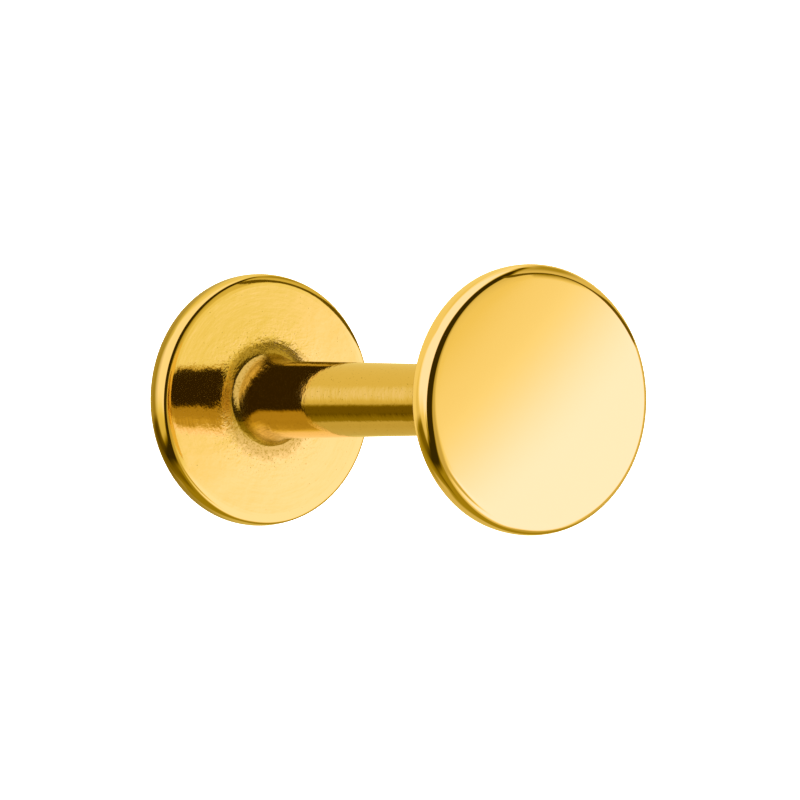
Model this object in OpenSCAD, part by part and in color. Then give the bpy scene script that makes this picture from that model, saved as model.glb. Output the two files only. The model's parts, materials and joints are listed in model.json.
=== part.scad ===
// Labret stud: a base disc and post in one piece, and a polished front disc
// whose pin sits in the hollow end of the post. It lies on its two rims.
// Millimetres. +X runs along the post towards the front disc, and +Z is up.

/* [Post] */
// Diameter of the post at its root on the base disc
post_root_d = 1.26; // [1.0:0.01:1.6]
// Diameter of the post at its hollow end
post_tip_d = 1.08; // [0.9:0.01:1.6]
// Clear length between the two discs
post_len = 7.26; // [5:0.02:14]
// Radius of the fillet between the post and the base disc
root_fillet_r = 0.3; // [0.1:0.01:0.45]

/* [Base disc] */
// Diameter of the base disc
base_d = 4.1; // [3.5:0.05:5]
// Thickness of the base disc
base_t = 0.52; // [0.4:0.01:0.8]
// Radius of the rounded edge round the side that carries the post
base_edge_r = 0.12; // [0.05:0.01:0.18]
// Radius of the rounded edge at the back of the base disc
base_back_edge_r = 0.18; // [0.05:0.01:0.2]
// Radius of the base rim's crown, seen in section
base_crown_r = 0.8; // [0.5:0.05:2]

/* [Front disc] */
// Diameter of the front disc
front_d = 4.35; // [3.5:0.05:6]
// Thickness of the front disc at its rim
front_t = 0.48; // [0.42:0.01:0.8]
// Radius of the rounded edge round the polished face
front_edge_r = 0.18; // [0.1:0.01:0.24]
// Radius of the rounded edge at the back of the front disc
front_back_edge_r = 0.08; // [0.05:0.01:0.18]
// Radius of the front rim's crown, seen in section
front_crown_r = 0.9; // [0.5:0.05:2]
// Radius of the shallow dome of the polished face
face_dome_r = 22; // [12:1:60]

/* [Fastening] */
// Diameter of the pin at the back of the front disc
pin_d = 0.6; // [0.4:0.01:0.7]
// Length of the pin
pin_len = 3; // [1.5:0.1:4]
// Bevel at the pin's tip
pin_bevel = 0.08; // [0.02:0.01:0.15]
// Clearance all round the pin in its bore
pin_clear = 0.02; // [0.01:0.005:0.05]
// Depth of the bore past the pin's tip
bore_spare = 0.2; // [0.05:0.05:0.6]
// Gap between the post's end and the front disc
end_gap = 0.02; // [0.01:0.005:0.05]

/* [Hidden] */
$fn = 96;
// Steps along each round stretch of a section
edge_steps = 8;
satin_gold = "goldenrod";
bright_gold = "gold";

base_r = base_d / 2;
front_r = front_d / 2;
// Distance along the post between the widest circles of the two rims
rim_span = base_t / 2 + post_len + front_t / 2;
// Both rims touch the surface that the stud lies on, so its post leans a little
lean = asin((front_r - base_r) / rim_span);
// How far the dome stands over the front rim, and the middle of the whole length
dome_rise = face_dome_r - sqrt(face_dome_r ^ 2 - front_r ^ 2);
mid_x = (base_t + post_len + front_t + dome_rise) / 2;
// Half angle of the post's taper, and the radius at which its fillet's circle stands
taper = atan((post_root_d - post_tip_d) / 2 / post_len);
fillet_at = post_root_d / 2 + root_fillet_r * (1 / cos(taper) - tan(taper));

// Of the two points where circles about a and b meet, the one further from the axis
function circles_meet(a, ra, b, rb) =
    let (gap = norm(b - a), u = (b - a) / gap,
         along = (ra ^ 2 - rb ^ 2 + gap ^ 2) / (2 * gap),
         off = sqrt(ra ^ 2 - along ^ 2))
    a + along * u + off * [-u.y, u.x];

// Points along an arc about o, of radius r, from one angle to another
function arc(o, r, from, to, steps) =
    [for (i = [0:steps]) let (a = from + (to - from) * i / steps) o + r * [cos(a), sin(a)]];

// The angle at which a round corner of centre c touches a circle about o
function touch_angle(o, c) = atan2(c.y - o.y, c.x - o.x);

// Half section of a disc that stands on y = 0: x is the radius and y the thickness.
// A crowned rim runs into a round edge at each side, and the upper face may be domed.
module disc_section(r, t, low_edge, high_edge, crown, dome = 0) {
    rim_o = [r - crown, t / 2];
    low_o = [rim_o.x + sqrt((crown - low_edge) ^ 2 - (t / 2 - low_edge) ^ 2), low_edge];
    flat_o = [rim_o.x + sqrt((crown - high_edge) ^ 2 - (t / 2 - high_edge) ^ 2), t - high_edge];
    dome_o = [0, t - sqrt(max(dome, r) ^ 2 - r ^ 2)];
    high_o = dome == 0 ? flat_o
        : circles_meet(rim_o, crown - high_edge, dome_o, dome - high_edge);
    low_a = touch_angle(rim_o, low_o);
    high_a = touch_angle(rim_o, high_o);
    face_a = dome == 0 ? 90 : touch_angle(dome_o, high_o);
    polygon(concat(
        [[0, 0]],
        arc(low_o, low_edge, -90, low_a, edge_steps),
        arc(rim_o, crown, low_a, high_a, edge_steps),
        arc(high_o, high_edge, high_a, face_a, edge_steps),
        dome == 0 ? [[0, t]] : arc(dome_o, dome, face_a, 90, edge_steps)));
}

// Lays a piece turned about Z on its side, with its zero plane dist along the post
module lay(dist) {
    translate([-mid_x * cos(lean), 0, base_r - base_t / 2 * sin(lean)])
        rotate([0, 90 - lean, 0]) translate([0, 0, dist]) children();
}

// The base disc and the tapered post, with the fillet between them and the pin's bore
module base_post() {
    post_end = post_len - end_gap;
    tip_r = post_root_d / 2 - post_end * tan(taper);
    bore_len = pin_len - end_gap + bore_spare;
    color(satin_gold) lay(0) difference() {
        rotate_extrude() {
            disc_section(base_r, base_t, base_back_edge_r, base_edge_r, base_crown_r);
            translate([0, base_t]) polygon(concat(
                [[0, 0]],
                arc([fillet_at, root_fillet_r], root_fillet_r, 270, 180 + taper, edge_steps),
                [[tip_r, post_end], [0, post_end]]));
        }
        translate([0, 0, base_t + post_end - bore_len])
            cylinder(h = bore_len + end_gap, d = pin_d + 2 * pin_clear);
    }
}

// The polished front disc, with the plain pin that holds it in the post
module front_disc() {
    shank_len = pin_len - pin_bevel;
    color(bright_gold) lay(base_t + post_len) {
        rotate_extrude() disc_section(
            front_r, front_t, front_back_edge_r, front_edge_r, front_crown_r, face_dome_r);
        translate([0, 0, -shank_len]) cylinder(h = shank_len + front_t / 2, d = pin_d);
        translate([0, 0, -pin_len]) cylinder(h = pin_bevel, d1 = pin_d - 2 * pin_bevel, d2 = pin_d);
    }
}

base_post();
front_disc();
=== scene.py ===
import json
import math

import bpy
from mathutils import Matrix, Vector


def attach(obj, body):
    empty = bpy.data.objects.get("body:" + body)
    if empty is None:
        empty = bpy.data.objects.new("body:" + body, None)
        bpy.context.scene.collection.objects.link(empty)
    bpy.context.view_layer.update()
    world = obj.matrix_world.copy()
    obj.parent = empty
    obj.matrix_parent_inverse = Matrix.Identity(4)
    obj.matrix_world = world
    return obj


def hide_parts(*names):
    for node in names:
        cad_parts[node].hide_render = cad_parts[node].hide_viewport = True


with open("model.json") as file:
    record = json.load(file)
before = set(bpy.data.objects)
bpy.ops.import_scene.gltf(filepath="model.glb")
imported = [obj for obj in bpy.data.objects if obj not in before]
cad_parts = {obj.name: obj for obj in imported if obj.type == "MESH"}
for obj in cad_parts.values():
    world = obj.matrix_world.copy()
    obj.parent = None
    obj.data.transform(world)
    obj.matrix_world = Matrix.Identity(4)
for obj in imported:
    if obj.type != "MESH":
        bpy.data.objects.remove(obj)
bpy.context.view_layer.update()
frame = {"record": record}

# Camera
# The stud lies on its two rims and is seen from the front disc's side, almost level with
# its post, through a long lens. The post points right and towards the camera. The middle
# of the flat back and the post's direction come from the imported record.
mounts = {m["name"]: m for m in frame["record"]["mounts"]}
back_middle = Vector(mounts["base_back"]["pos_m"])
post_line = Vector(mounts["post"]["axis"]).normalized()
aim_along = 0.00414
aim_point = back_middle + post_line * aim_along
view_off_post = math.radians(34.3)
view_up = math.radians(1.11)
view_distance = 0.4
photo_width_px = 800
photo_px_per_m = 62000
photo_aim = Vector((393.85, 399.78))

to_camera = Vector((math.cos(view_off_post) * math.cos(view_up),
                    -math.sin(view_off_post) * math.cos(view_up), math.sin(view_up)))
lens = bpy.data.cameras.new("camera")
lens.sensor_width = 36.0
lens.lens = lens.sensor_width * photo_px_per_m * view_distance / photo_width_px
lens.clip_start = 0.01
lens.clip_end = 10.0
lens.shift_x = (photo_width_px / 2 - photo_aim.x) / photo_width_px
lens.shift_y = (photo_aim.y - photo_width_px / 2) / photo_width_px
camera = bpy.data.objects.new("camera", lens)
bpy.context.scene.collection.objects.link(camera)
camera.rotation_euler = to_camera.to_track_quat("Z", "Y").to_euler()
camera.location = aim_point + to_camera * view_distance
bpy.context.scene.camera = camera


# Base disc and post
# Turned from one bar of steel, tumbled and coated in gold: a flat disc with softly rounded
# edges, and a slightly tapered post that grows out of it through a small fillet. The
# tumbling leaves scratches, specks and soft dents that break up what the gold mirrors.
base_r = 0.00205
base_t = 0.00052
base_edge_r = 0.000085
base_shoulder_r = 0.0003
shoulder_from = math.radians(74)
base_back_edge_r = 0.00018
base_crown_r = 0.0008
face_crown_r = 0.06
post_root_r = 0.00063
post_tip_r = 0.00054
post_len = 0.00726
end_gap = 0.00002
bore_r = 0.00032
bore_len = 0.00318
fillet_rows = [  # slope in degrees, length in millimetres; from the disc up
    (6, 0.03), (11, 0.085), (16, 0.08), (30, 0.006), (45, 0.01), (52, 0.035),
    (56, 0.035), (60, 0.035), (72, 0.03), (78, 0.14), (84, 0.17), (88, 0.08)]
mm_per_m = 1000
quarter_turn = math.pi / 2
turn_steps = 256
edge_steps = 20
shoulder_steps = 8
face_steps = 8
back_steps = 6
post_steps = 12


def arc(centre, r, start, end, steps=edge_steps):
    """Points (radius, along) on an arc from one angle to another, in radians."""
    angles = (start + (end - start) * i / steps for i in range(steps + 1))
    return [(centre[0] + r * math.cos(a), centre[1] + r * math.sin(a)) for a in angles]


def spaced(start, end, steps):
    """Evenly spaced values that come after the start and run up to the end."""
    return [start + (end - start) * i / steps for i in range(1, steps + 1)]


def corner(rim, crown, edge, along):
    """Middle of a round edge, at a height along the post, that touches the rim's crown."""
    return (rim[0] + math.sqrt((crown - edge) ** 2 - (along - rim[1]) ** 2), along)


def angle_to(centre, point):
    """The angle at which a point is seen from a centre, in radians."""
    return math.atan2(point[1] - centre[1], point[0] - centre[0])


def turned(name, outline, origin):
    """A closed mesh: (radius, along) points, from axis to axis, turned about the post's line."""
    rings = outline[1:-1]
    verts, faces = [], []
    for r, along in rings:
        for i in range(turn_steps):
            angle = 2 * math.pi * i / turn_steps
            verts.append((r * math.cos(angle), r * math.sin(angle), along))
    for k in range(len(rings) - 1):
        near, far = k * turn_steps, (k + 1) * turn_steps
        for i in range(turn_steps):
            j = (i + 1) % turn_steps
            faces.append((near + i, near + j, far + j, far + i))
    for ring, tip, winding in ((0, outline[0], -1), (len(rings) - 1, outline[-1], 1)):
        verts.append((0, 0, tip[1]))
        first = ring * turn_steps
        for i in range(turn_steps):
            j = (i + 1) % turn_steps
            faces.append((first + i, first + j, len(verts) - 1)[::winding])
    mesh = bpy.data.meshes.new(name)
    mesh.from_pydata(verts, [], faces)
    mesh.polygons.foreach_set("use_smooth", [True] * len(mesh.polygons))
    piece = bpy.data.objects.new(name, mesh)
    side = Vector((0, 1, 0))
    up = post_line.cross(side)
    piece.matrix_world = Matrix.Translation(origin) @ Matrix((side, up, post_line)).transposed().to_4x4()
    bpy.context.scene.collection.objects.link(piece)
    return piece


def face_along(r):
    """Where the base disc's crowned face lies along the post, at a radius."""
    return base_t + (shoulder[0] ** 2 - r ** 2) / (2 * face_crown_r)


rim = (base_r - base_crown_r, base_t / 2)
low = corner(rim, base_crown_r, base_back_edge_r, base_back_edge_r)
shoulder_drop = (base_shoulder_r - base_edge_r) * (1 - math.sin(shoulder_from))
high = corner(rim, base_crown_r, base_edge_r, base_t - base_edge_r - shoulder_drop)
shoulder_in = (base_shoulder_r - base_edge_r) * math.cos(shoulder_from)
shoulder = (high[0] - shoulder_in, base_t - base_shoulder_r)
taper = math.atan((post_root_r - post_tip_r) / post_len)
post_end = base_t + post_len - end_gap
fillet = [(math.radians(slope), length / mm_per_m) for slope, length in fillet_rows]
fillet_at = post_root_r + sum(length * math.cos(slope) for slope, length in fillet)
outline = [(0, 0)]
outline += [(r, 0) for r in spaced(0, low[0], back_steps)[:-1]]
outline += arc(low, base_back_edge_r, -quarter_turn, angle_to(rim, low))
outline += arc(rim, base_crown_r, angle_to(rim, low), angle_to(rim, high))[1:]
outline += arc(high, base_edge_r, angle_to(rim, high), shoulder_from)[1:]
outline += arc(shoulder, base_shoulder_r, shoulder_from, quarter_turn, shoulder_steps)[1:]
outline += [(r, face_along(r)) for r in spaced(shoulder[0], fillet_at, face_steps)]
for slope, length in fillet:
    r, along = outline[-1]
    outline.append((r - length * math.cos(slope), along + length * math.sin(slope)))
foot_r, foot_along = outline[-1]
for along in spaced(foot_along, post_end, post_steps):
    outline.append((foot_r - (along - foot_along) * math.tan(taper), along))
outline += [(bore_r, post_end), (bore_r, post_end - bore_len), (0, post_end - bore_len)]
base_piece = turned("base_and_post", outline, back_middle)
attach(base_piece, "root")
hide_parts("base_post")


def add(tree, kind, inputs, **settings):
    """A shader node whose named inputs are set to values or linked to other nodes' outputs."""
    made = tree.nodes.new("ShaderNode" + kind)
    for key, value in settings.items():
        setattr(made, key, value)
    for key, value in inputs.items():
        if isinstance(value, bpy.types.NodeSocket):
            tree.links.new(value, made.inputs[key])
        else:
            made.inputs[key].default_value = value
    return made


def maths(tree, operation, *values):
    """The result of one operation on values or sockets."""
    return add(tree, "Math", dict(enumerate(values)), operation=operation).outputs[0]


def total(tree, start, parts):
    """A first value, plus each part times its weight."""
    for part, weight in parts:
        start = maths(tree, "MULTIPLY_ADD", part, weight, start)
    return start


def ramp(tree, value, start, end):
    """0 where the value is before the start, 1 past the end, and straight in between."""
    return add(tree, "MapRange", {"Value": value, "From Min": start, "From Max": end}).outputs[0]


def millimetres(tree, place):
    """A place in the piece's own frame, in millimetres."""
    return add(tree, "VectorMath", {0: place, 1: [mm_per_m] * 3}, operation="MULTIPLY").outputs[0]


def radius_mm(tree, place):
    """How far a place in the piece's own frame is from the post's line, in millimetres."""
    flat = add(tree, "VectorMath", {0: place, 1: (mm_per_m, mm_per_m, 0)}, operation="MULTIPLY").outputs[0]
    return add(tree, "VectorMath", {0: flat}, operation="LENGTH").outputs["Value"]


def new_group(name, inputs, output):
    """A node group, and the sockets inside it of its float or vector inputs and its output."""
    tree = bpy.data.node_groups.new(name, "ShaderNodeTree")
    for key, value in inputs.items():
        kind = "NodeSocketFloat" if isinstance(value, (int, float)) else "NodeSocketVector"
        tree.interface.new_socket(key, in_out="INPUT", socket_type=kind).default_value = value
    tree.interface.new_socket(output[0], in_out="OUTPUT", socket_type=output[1])
    return tree, tree.nodes.new("NodeGroupInput").outputs, tree.nodes.new("NodeGroupOutput").inputs


def new_material(name):
    """A material, its node tree and the shader in it."""
    made = bpy.data.materials.new(name)
    made.use_nodes = True
    return made, made.node_tree, made.node_tree.nodes["Principled BSDF"]


# Marks of the tumbling barrel and the lathe, for any piece turned about the post's line:
# short scratches that run round it, a fine grain in between, and broad soft dents.
finish, finish_in, finish_out = new_group("turned_finish", {
    "Place": (0, 0, 0), "Scratches": 0.1, "Grain": 0.05, "Dents": 0.5}, ("Normal", "NodeSocketVector"))
scratch_rows_per_mm = 15
scratches_per_radian = 5
grain_per_mm = 22
dents_per_mm = 1.3
least_radius_mm = 0.1
micrometre = 0.000001
place_mm = millimetres(finish, finish_in["Place"])
out_mm = radius_mm(finish, finish_in["Place"])
split = add(finish, "SeparateXYZ", {0: place_mm})
divisor = maths(finish, "MAXIMUM", out_mm, least_radius_mm)
round_x = maths(finish, "DIVIDE", split.outputs["X"], divisor)
round_y = maths(finish, "DIVIDE", split.outputs["Y"], divisor)
scratch_row = maths(finish, "SUBTRACT", out_mm, split.outputs["Z"])
lay = add(finish, "CombineXYZ", {
    "X": maths(finish, "MULTIPLY", round_x, scratches_per_radian),
    "Y": maths(finish, "MULTIPLY", round_y, scratches_per_radian),
    "Z": maths(finish, "MULTIPLY", scratch_row, scratch_rows_per_mm)}).outputs[0]
scratch = add(finish, "TexNoise", {"Vector": lay, "Scale": 1.0, "Detail": 2.0, "Roughness": 0.6}).outputs[0]
grain = add(finish, "TexNoise", {"Vector": place_mm, "Scale": grain_per_mm, "Detail": 1.0}).outputs[0]
dent = add(finish, "TexNoise", {"Vector": place_mm, "Scale": dents_per_mm, "Detail": 3.0}).outputs[0]
height = total(finish, 0, [
    (dent, finish_in["Dents"]), (grain, finish_in["Grain"]), (scratch, finish_in["Scratches"])])
bump = add(finish, "Bump", {"Height": height, "Strength": 1.0, "Distance": micrometre})
finish.links.new(bump.outputs["Normal"], finish_out["Normal"])

# Specks: small pits that the tumbling leaves, denser where the share is larger.
specks, specks_in, specks_out = new_group("specks", {"Place": (0, 0, 0), "Share": 0.1},
                                          ("Mask", "NodeSocketFloat"))
specks_per_mm = 26
bare_limit = 0.75
limit_drop = 0.3
speck_border = 0.06
pits = add(specks, "TexNoise", {"Vector": millimetres(specks, specks_in["Place"]), "Scale": specks_per_mm,
                                "Detail": 2.0, "Roughness": 0.7}).outputs[0]
pit_limit = maths(specks, "SUBTRACT", bare_limit, maths(specks, "MULTIPLY", specks_in["Share"], limit_drop))
pit_full = maths(specks, "ADD", pit_limit, speck_border)
specks.links.new(ramp(specks, pits, pit_limit, pit_full), specks_out["Mask"])


def mixed(tree, share, first, second):
    """A colour that goes from the first to the second as the share goes from 0 to 1."""
    return add(tree, "Mix", {0: share, 6: first, 7: second}, data_type="RGBA").outputs[2]


satin, tree, shader = new_material("satin_gold")
satin_colour = (0.9, 0.71, 0.26, 1)
# The post's colour is a darker copy of the same gold: painted shade on the post.
post_shaded_colour = (0.79, 0.595, 0.215, 1)
# The dull colour is the specks' own dull tone, and also painted shade in the root round the post and a
# painted dark reflection along the back edge.
speck_and_shade_colour = (0.42, 0.3, 0.03, 1)
speck_dullness = 0.85
# How deep the painted shade in the root round the post is.
root_shade_depth = 0.52
raggedness_mm = 0.3
ragged_per_mm = 14
# Each part of the finish, and of the painted shade and painted reflection, starts at its first limit and is
# full at its second, in millimetres along the post from the disc's flat back, or out from the post's line.
face_from_along = (0.4, 0.5)
face_until_along = (0.9, 0.75)
post_from_along = (0.7, 0.9)
back_from_along = (0.36, 0.26)
in_root_out = (1.02, 0.86)
round_root_out = (1.5, 0.9)
off_rim_out = (1.98, 1.85)
back_edge_out = (1.75, 1.9)

place = add(tree, "TexCoord", {}).outputs["Object"]
out_mm = radius_mm(tree, place)
along_mm = maths(tree, "MULTIPLY", add(tree, "SeparateXYZ", {0: place}).outputs["Z"], mm_per_m)
ragged = add(tree, "TexNoise", {
    "Vector": place, "Scale": ragged_per_mm * mm_per_m, "Detail": 3.0}).outputs[0]
ragged_mm = maths(tree, "MULTIPLY_ADD", ragged, raggedness_mm, maths(
    tree, "SUBTRACT", out_mm, raggedness_mm / 2))
near_face = maths(tree, "MULTIPLY", ramp(tree, along_mm, *face_until_along),
                  ramp(tree, along_mm, *face_from_along))
# The root round the post, where the finish is rougher and where shade is painted.
in_root = maths(tree, "MULTIPLY", near_face, ramp(tree, ragged_mm, *in_root_out))
round_root = maths(tree, "MULTIPLY", near_face, ramp(tree, out_mm, *round_root_out))
off_rim = ramp(tree, out_mm, *off_rim_out)
on_post = ramp(tree, along_mm, *post_from_along)
# A painted dark reflection along the disc's back edge.
back_edge_reflection = maths(tree, "MULTIPLY", ramp(tree, along_mm, *back_from_along),
                  ramp(tree, out_mm, *back_edge_out))
all_over = (0, 0.1, 0.05, 1, 0.05)  # share of specks, scratches, grain, dents, roughness
finish_rows = [  # where, and what it adds to each of those five
    (off_rim, 0.15, 0.9, 0.3, 6, 0.015),
    (in_root, 0.2, 3.5, 1.4, 0, 0.12),
    (on_post, 0.2, 0, 0, 0, 0),
    (round_root, 0.4, 0, 1.2, 8, 0.03),
]
speck_share, scratch_depth, grain_depth, dent_depth, roughness = (
    total(tree, start, [(where, added[column]) for where, *added in finish_rows if added[column]])
    for column, start in enumerate(all_over))
speck = add(tree, "Group", {"Place": place, "Share": speck_share}, node_tree=specks).outputs["Mask"]
# Painted shade in the root round the post, and a painted dark reflection along the back edge, laid over the
# specks.
painted_shade_and_reflection = maths(tree, "MAXIMUM", maths(tree, "MULTIPLY", in_root, root_shade_depth), back_edge_reflection)
specks_and_painted_shade = maths(tree, "MAXIMUM", maths(tree, "MULTIPLY", speck, speck_dullness), painted_shade_and_reflection)
# The gold, with the post painted darker as painted shade.
gold_with_post_shade = mixed(tree, on_post, satin_colour, post_shaded_colour)
marks = add(tree, "Group", {"Place": place, "Scratches": scratch_depth, "Grain": grain_depth,
                            "Dents": dent_depth}, node_tree=finish)
shader.inputs["Metallic"].default_value = 1.0
tree.links.new(mixed(tree, specks_and_painted_shade, gold_with_post_shade, speck_and_shade_colour), shader.inputs["Base Color"])
tree.links.new(roughness, shader.inputs["Roughness"])
tree.links.new(marks.outputs["Normal"], shader.inputs["Normal"])
base_piece.data.materials.append(satin)


# Front disc
# Turned from the same steel with a thicker rounded edge and a barely domed face, coated,
# and buffed to a mirror. Its plain pin is pushed into the post's bore and doesn't show.
front_r = 0.002175
front_t = 0.00048
front_edge_r = 0.00018
front_back_edge_r = 0.00008
front_crown_r = 0.0009
face_dome_r = 0.022
pin_r = 0.0003
pin_len = 0.003
pin_bevel = 0.00008
front_back_steps = 8
front_edge_steps = 28
dome_steps = 24


def circles_meet(first, first_r, second, second_r):
    """Of the two points where circles about two centres meet, the one further from the axis."""
    gap = math.dist(first, second)
    line = ((second[0] - first[0]) / gap, (second[1] - first[1]) / gap)
    part_way = (first_r ** 2 - second_r ** 2 + gap ** 2) / (2 * gap)
    aside = math.sqrt(first_r ** 2 - part_way ** 2)
    return (first[0] + part_way * line[0] - aside * line[1],
            first[1] + part_way * line[1] + aside * line[0])


rim = (front_r - front_crown_r, front_t / 2)
low = corner(rim, front_crown_r, front_back_edge_r, front_back_edge_r)
dome = (0.0, front_t - math.sqrt(face_dome_r ** 2 - front_r ** 2))
high = circles_meet(rim, front_crown_r - front_edge_r, dome, face_dome_r - front_edge_r)
outline = [(0, -pin_len), (pin_r - pin_bevel, -pin_len), (pin_r, pin_bevel - pin_len), (pin_r, 0)]
outline += [(r, 0) for r in spaced(pin_r, low[0], front_back_steps)[:-1]]
outline += arc(low, front_back_edge_r, -quarter_turn, angle_to(rim, low))
outline += arc(rim, front_crown_r, angle_to(rim, low), angle_to(rim, high))[1:]
outline += arc(high, front_edge_r, angle_to(rim, high), angle_to(dome, high), front_edge_steps)[1:]
outline += arc(dome, face_dome_r, angle_to(dome, high), quarter_turn, dome_steps)[1:]
front_piece = turned("polished_front_disc", outline, back_middle + post_line * (base_t + post_len))
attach(front_piece, "root")
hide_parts("front_disc")

polished, tree, shader = new_material("polished_gold")
polished_colour = (1.0, 0.80, 0.45, 1)
place = add(tree, "TexCoord", {}).outputs["Object"]
marks = add(tree, "Group", {"Place": place, "Scratches": 0.012, "Grain": 0.006, "Dents": 0.4},
            node_tree=finish)
shader.inputs["Base Color"].default_value = polished_colour
shader.inputs["Metallic"].default_value = 1.0
shader.inputs["Roughness"].default_value = 0.03
tree.links.new(marks.outputs["Normal"], shader.inputs["Normal"])
front_piece.data.materials.append(polished)


# Floor
# A sheet of plain white paper that reaches far behind the stud. A soft lamp overhead
# whitens it, and neither it nor the lamp is mirrored in the gold.
floor_half = 0.8
paper_colour = (0.9, 0.9, 0.9, 1)
floor_mesh = bpy.data.meshes.new("floor")
floor_mesh.from_pydata([(-floor_half, -floor_half, 0), (floor_half, -floor_half, 0),
                        (floor_half, floor_half, 0), (-floor_half, floor_half, 0)],
                       [], [(0, 1, 2, 3)])
floor = bpy.data.objects.new("floor", floor_mesh)
bpy.context.scene.collection.objects.link(floor)
paper, _, shader = new_material("white_paper")
shader.inputs["Base Color"].default_value = paper_colour
shader.inputs["Roughness"].default_value = 1.0
shader.inputs["Specular IOR Level"].default_value = 0.0
floor_mesh.materials.append(paper)
floor.visible_glossy = False

lamp_light = bpy.data.lights.new("overhead_lamp", "SUN")
lamp_light.energy = 6.0
lamp_light.angle = math.radians(60)
lamp_light.use_shadow = False
lamp = bpy.data.objects.new("overhead_lamp", lamp_light)
lamp.visible_glossy = False
bpy.context.scene.collection.objects.link(lamp)


# Studio
# Two great soft boxes, one over the camera's left shoulder and one low on its right, and
# dimmer ones round them, in a pale room. A dark gap runs from low on the left, over the
# camera, to high on the right, above a dark ledge. The dimmer the light, the warmer it is.
backdrop_level = 1.2
room_level = 0.78
soft_boxes = [  # azimuth, elevation, roll, half width, half height, soft width, soft height, level
    (-145, 68, 0, 60, 25, 10, 12, 1.0),
    (-50, 42, 35, 54, 58, 8, 14, 1.16),
    (45, -40, 0, 35, 14, 10, 8, 0.92),
    (90, -25, 48, 42, 60, 5, 20, 0.97),
    (90, -25, 48, 33, 60, 5, 20, 1.3),
    (26, -35, 0, 16, 8, 8, 6, 0.57),
    (19, -8, 40, 14.5, 48, 5, 12, 0.6),
    (142, -12, 0, 36, 26, 8, 8, 0.66),
    (165, -60, 0, 34, 20, 10, 8, 0.5),
    (98, 37, 0, 38, 22, 8, 2, 0.74),
    (120, 48, 0, 25, 10, 15, 6, 0.42),
    (-120, -66, 0, 65, 26, 12, 4, 0.36),
    (-165, -20, 0, 30, 19, 6, 4, 0.68),
    (-150, 12, 0, 31, 27, 3, 3, 0.92),
    (-136, -21, 0, 9, 8, 4, 4, 0.42),
    (-118, -32, 0, 12, 22, 2, 4, 0.34),
    (-114, -32, 0, 8, 22, 5, 4, 0.19),
]
# The borders of the gap and of the ledge: azimuth and elevation of each bend.
gap_top = [(-120, -26), (-90, -24), (-60, -25), (-48, -12), (-39, 0), (-25, 22), (-12, 40), (0, 46),
           (15, 52), (30, 58), (60, 67), (90, 69), (140, 66)]
gap_bottom = [(-120, -33), (-90, -45), (-60, -48), (-45, -47), (-30, -42), (-15, -32), (0, -20),
              (12, -6), (30, 8), (39, 13), (48, 20), (60, 34), (75, 52), (90, 58), (120, 60)]
ledge_top = [(61, 54), (63, 47), (66, 36), (69, 28), (72, 21), (75, 18), (85, 18), (100, 22), (110, 23),
             (120, 20), (140, 13)]
ledge_bottom = [(61, 36), (63, 26), (66, 15), (69, 9.6), (75, 9), (100, 10), (140, 12)]
dark_strips = [  # top border, bottom border, softness, ends in azimuth, softness of each end, level
    (gap_top, gap_bottom, 5, (-119, 138), (2, 10), 0.038),
    (ledge_top, ledge_bottom, 1, (61, 140), (1, 1), 0.14),
]
warmth = [  # level, and the colour of that light
    (0, (0, 0, 0)), (0.2, (0.2, 0.125, 0)), (0.4, (0.4, 0.275, 0.01)), (0.6, (0.6, 0.44, 0.1)),
    (0.9, (0.9, 0.69, 0.2)), (1.0, (1.0, 0.83, 0.4)), (1.3, (1.3, 1.06, 1.1))]


def dot(tree, first, second):
    """How far one direction goes along another."""
    return add(tree, "VectorMath", {0: first, 1: second}, operation="DOT_PRODUCT").outputs["Value"]


def fade(tree, value, start, end):
    """0 where the value is before the start, 1 past the end, and smooth in between."""
    return add(tree, "MapRange", {"Value": value, "From Min": start, "From Max": end},
               interpolation_type="SMOOTHSTEP").outputs[0]


def inside(tree, angle, half, soft):
    """1 inside the half angle, 0 outside it, with a soft border."""
    return fade(tree, maths(tree, "ABSOLUTE", angle), maths(tree, "ADD", half, soft),
                maths(tree, "SUBTRACT", half, soft))


def covered(tree, cover, light, level):
    """The light, with another level where it is covered."""
    return add(tree, "Mix", {0: cover, 2: light, 3: level}, data_type="FLOAT").outputs[0]


# A soft box laid over the light so far. Its half sizes and soft borders are in radians.
soft_box, box_in, box_out = new_group("soft_box", {
    "Light": 1.0, "Direction": (0, 0, 1), "Middle": (0, 0, 1), "Across": (1, 0, 0), "Up": (0, 1, 0),
    "Half Width": 0.5, "Half Height": 0.5, "Soft Width": 0.1, "Soft Height": 0.1, "Level": 1.0},
    ("Light", "NodeSocketFloat"))
across_angle = maths(soft_box, "ARCTAN2", dot(soft_box, box_in["Direction"], box_in["Across"]),
                     dot(soft_box, box_in["Direction"], box_in["Middle"]))
up_angle = maths(soft_box, "ARCSINE", dot(soft_box, box_in["Direction"], box_in["Up"]))
cover = maths(soft_box, "MULTIPLY",
              inside(soft_box, across_angle, box_in["Half Width"], box_in["Soft Width"]),
              inside(soft_box, up_angle, box_in["Half Height"], box_in["Soft Height"]))
soft_box.links.new(covered(soft_box, cover, box_in["Light"], box_in["Level"]), box_out["Light"])


def studio_direction(turn, rise):
    """The direction to the camera, turned to the picture's right and raised, in radians."""
    right = Vector((0, 0, 1)).cross(to_camera).normalized()
    over = to_camera.cross(right)
    return (right * math.sin(turn) + to_camera * math.cos(turn)) * math.cos(rise) + over * math.sin(rise)


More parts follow.
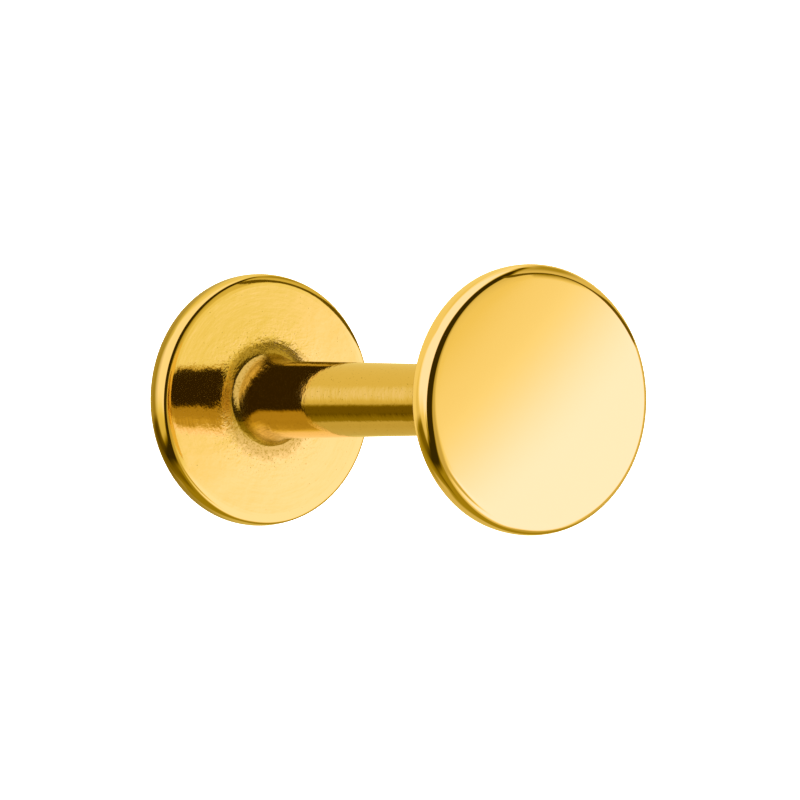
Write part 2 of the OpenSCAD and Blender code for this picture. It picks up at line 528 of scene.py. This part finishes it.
def border(tree, share_round, points):
    """A border's elevation in degrees. The curve itself holds shares of 360 degrees and of 180."""
    line = add(tree, "FloatCurve", {"Value": share_round})
    curve = line.mapping.curves[0]
    shares = [((turn + 180) / 360, (rise + 90) / 180) for turn, rise in points]
    curve.points[0].location = (0, shares[0][1])
    curve.points[1].location = (1, shares[-1][1])
    for share in shares:
        curve.points.new(*share)
    for point in curve.points:
        point.handle_type = "VECTOR"
    line.mapping.update()
    return maths(tree, "MULTIPLY_ADD", line.outputs[0], 180, -90)


def strip(tree, light, azimuth, elevation, top, bottom, softness, ends, end_softness, level):
    """The light, with a strip of another level between two borders and two ends."""
    share_round = maths(tree, "MULTIPLY_ADD", azimuth, 1 / 360, 0.5)
    under = maths(tree, "SUBTRACT", border(tree, share_round, top), elevation)
    over = maths(tree, "SUBTRACT", elevation, border(tree, share_round, bottom))
    between = maths(tree, "MULTIPLY", fade(tree, under, -softness, softness),
                    fade(tree, over, -softness, softness))
    first = fade(tree, azimuth, ends[0] - end_softness[0], ends[0] + end_softness[0])
    last = fade(tree, azimuth, ends[1] + end_softness[1], ends[1] - end_softness[1])
    cover = maths(tree, "MULTIPLY", between, maths(tree, "MULTIPLY", first, last))
    return covered(tree, cover, light, level)


world = bpy.data.worlds.new("studio")
bpy.context.scene.world = world
world.use_nodes = True
# With the world sampled as a lamp, rough gold would show the plain backdrop, not the boxes.
world.cycles.sampling_method = "NONE"
tree = world.node_tree
direction = add(tree, "TexCoord", {}).outputs["Generated"]
light = room_level
for *angles, level in soft_boxes:
    turn, rise, roll, half_w, half_h, soft_w, soft_h = (math.radians(a) for a in angles)
    middle = studio_direction(turn, rise)
    rightward = studio_direction(turn + quarter_turn, 0)
    upward = middle.cross(rightward)
    light = add(tree, "Group", {
        "Light": light, "Direction": direction, "Middle": middle, "Level": level,
        "Across": rightward * math.cos(roll) - upward * math.sin(roll),
        "Up": upward * math.cos(roll) + rightward * math.sin(roll),
        "Half Width": half_w, "Half Height": half_h, "Soft Width": soft_w, "Soft Height": soft_h},
        node_tree=soft_box).outputs[0]
to_right = dot(tree, direction, studio_direction(quarter_turn, 0))
to_front = dot(tree, direction, studio_direction(0, 0))
to_top = dot(tree, direction, studio_direction(0, quarter_turn))
azimuth = maths(tree, "DEGREES", maths(tree, "ARCTAN2", to_right, to_front))
elevation = maths(tree, "DEGREES", maths(tree, "ARCSINE", to_top))
for dark_strip in dark_strips:
    light = strip(tree, light, azimuth, elevation, *dark_strip)
brightest = warmth[-1][0]
glow = add(tree, "ValToRGB", {"Fac": maths(tree, "DIVIDE", light, brightest)})
stops = glow.color_ramp.elements
while len(stops) < len(warmth):
    stops.new(1.0)
for stop, (level, colour) in zip(stops, warmth):
    stop.position = level / brightest
    stop.color = (*colour, 1)
mirrored = add(tree, "LightPath", {}).outputs["Is Glossy Ray"]
backdrop = add(tree, "Background", {"Color": (1, 1, 1, 1), "Strength": backdrop_level})
boxes = add(tree, "Background", {"Color": glow.outputs["Color"], "Strength": 1.0})
seen = add(tree, "MixShader", {0: mirrored, 1: backdrop.outputs[0], 2: boxes.outputs[0]})
tree.links.new(seen.outputs[0], tree.nodes["World Output"].inputs["Surface"])
tree.nodes.remove(tree.nodes["Background"])
bpy.context.scene.view_settings.view_transform = "Standard"
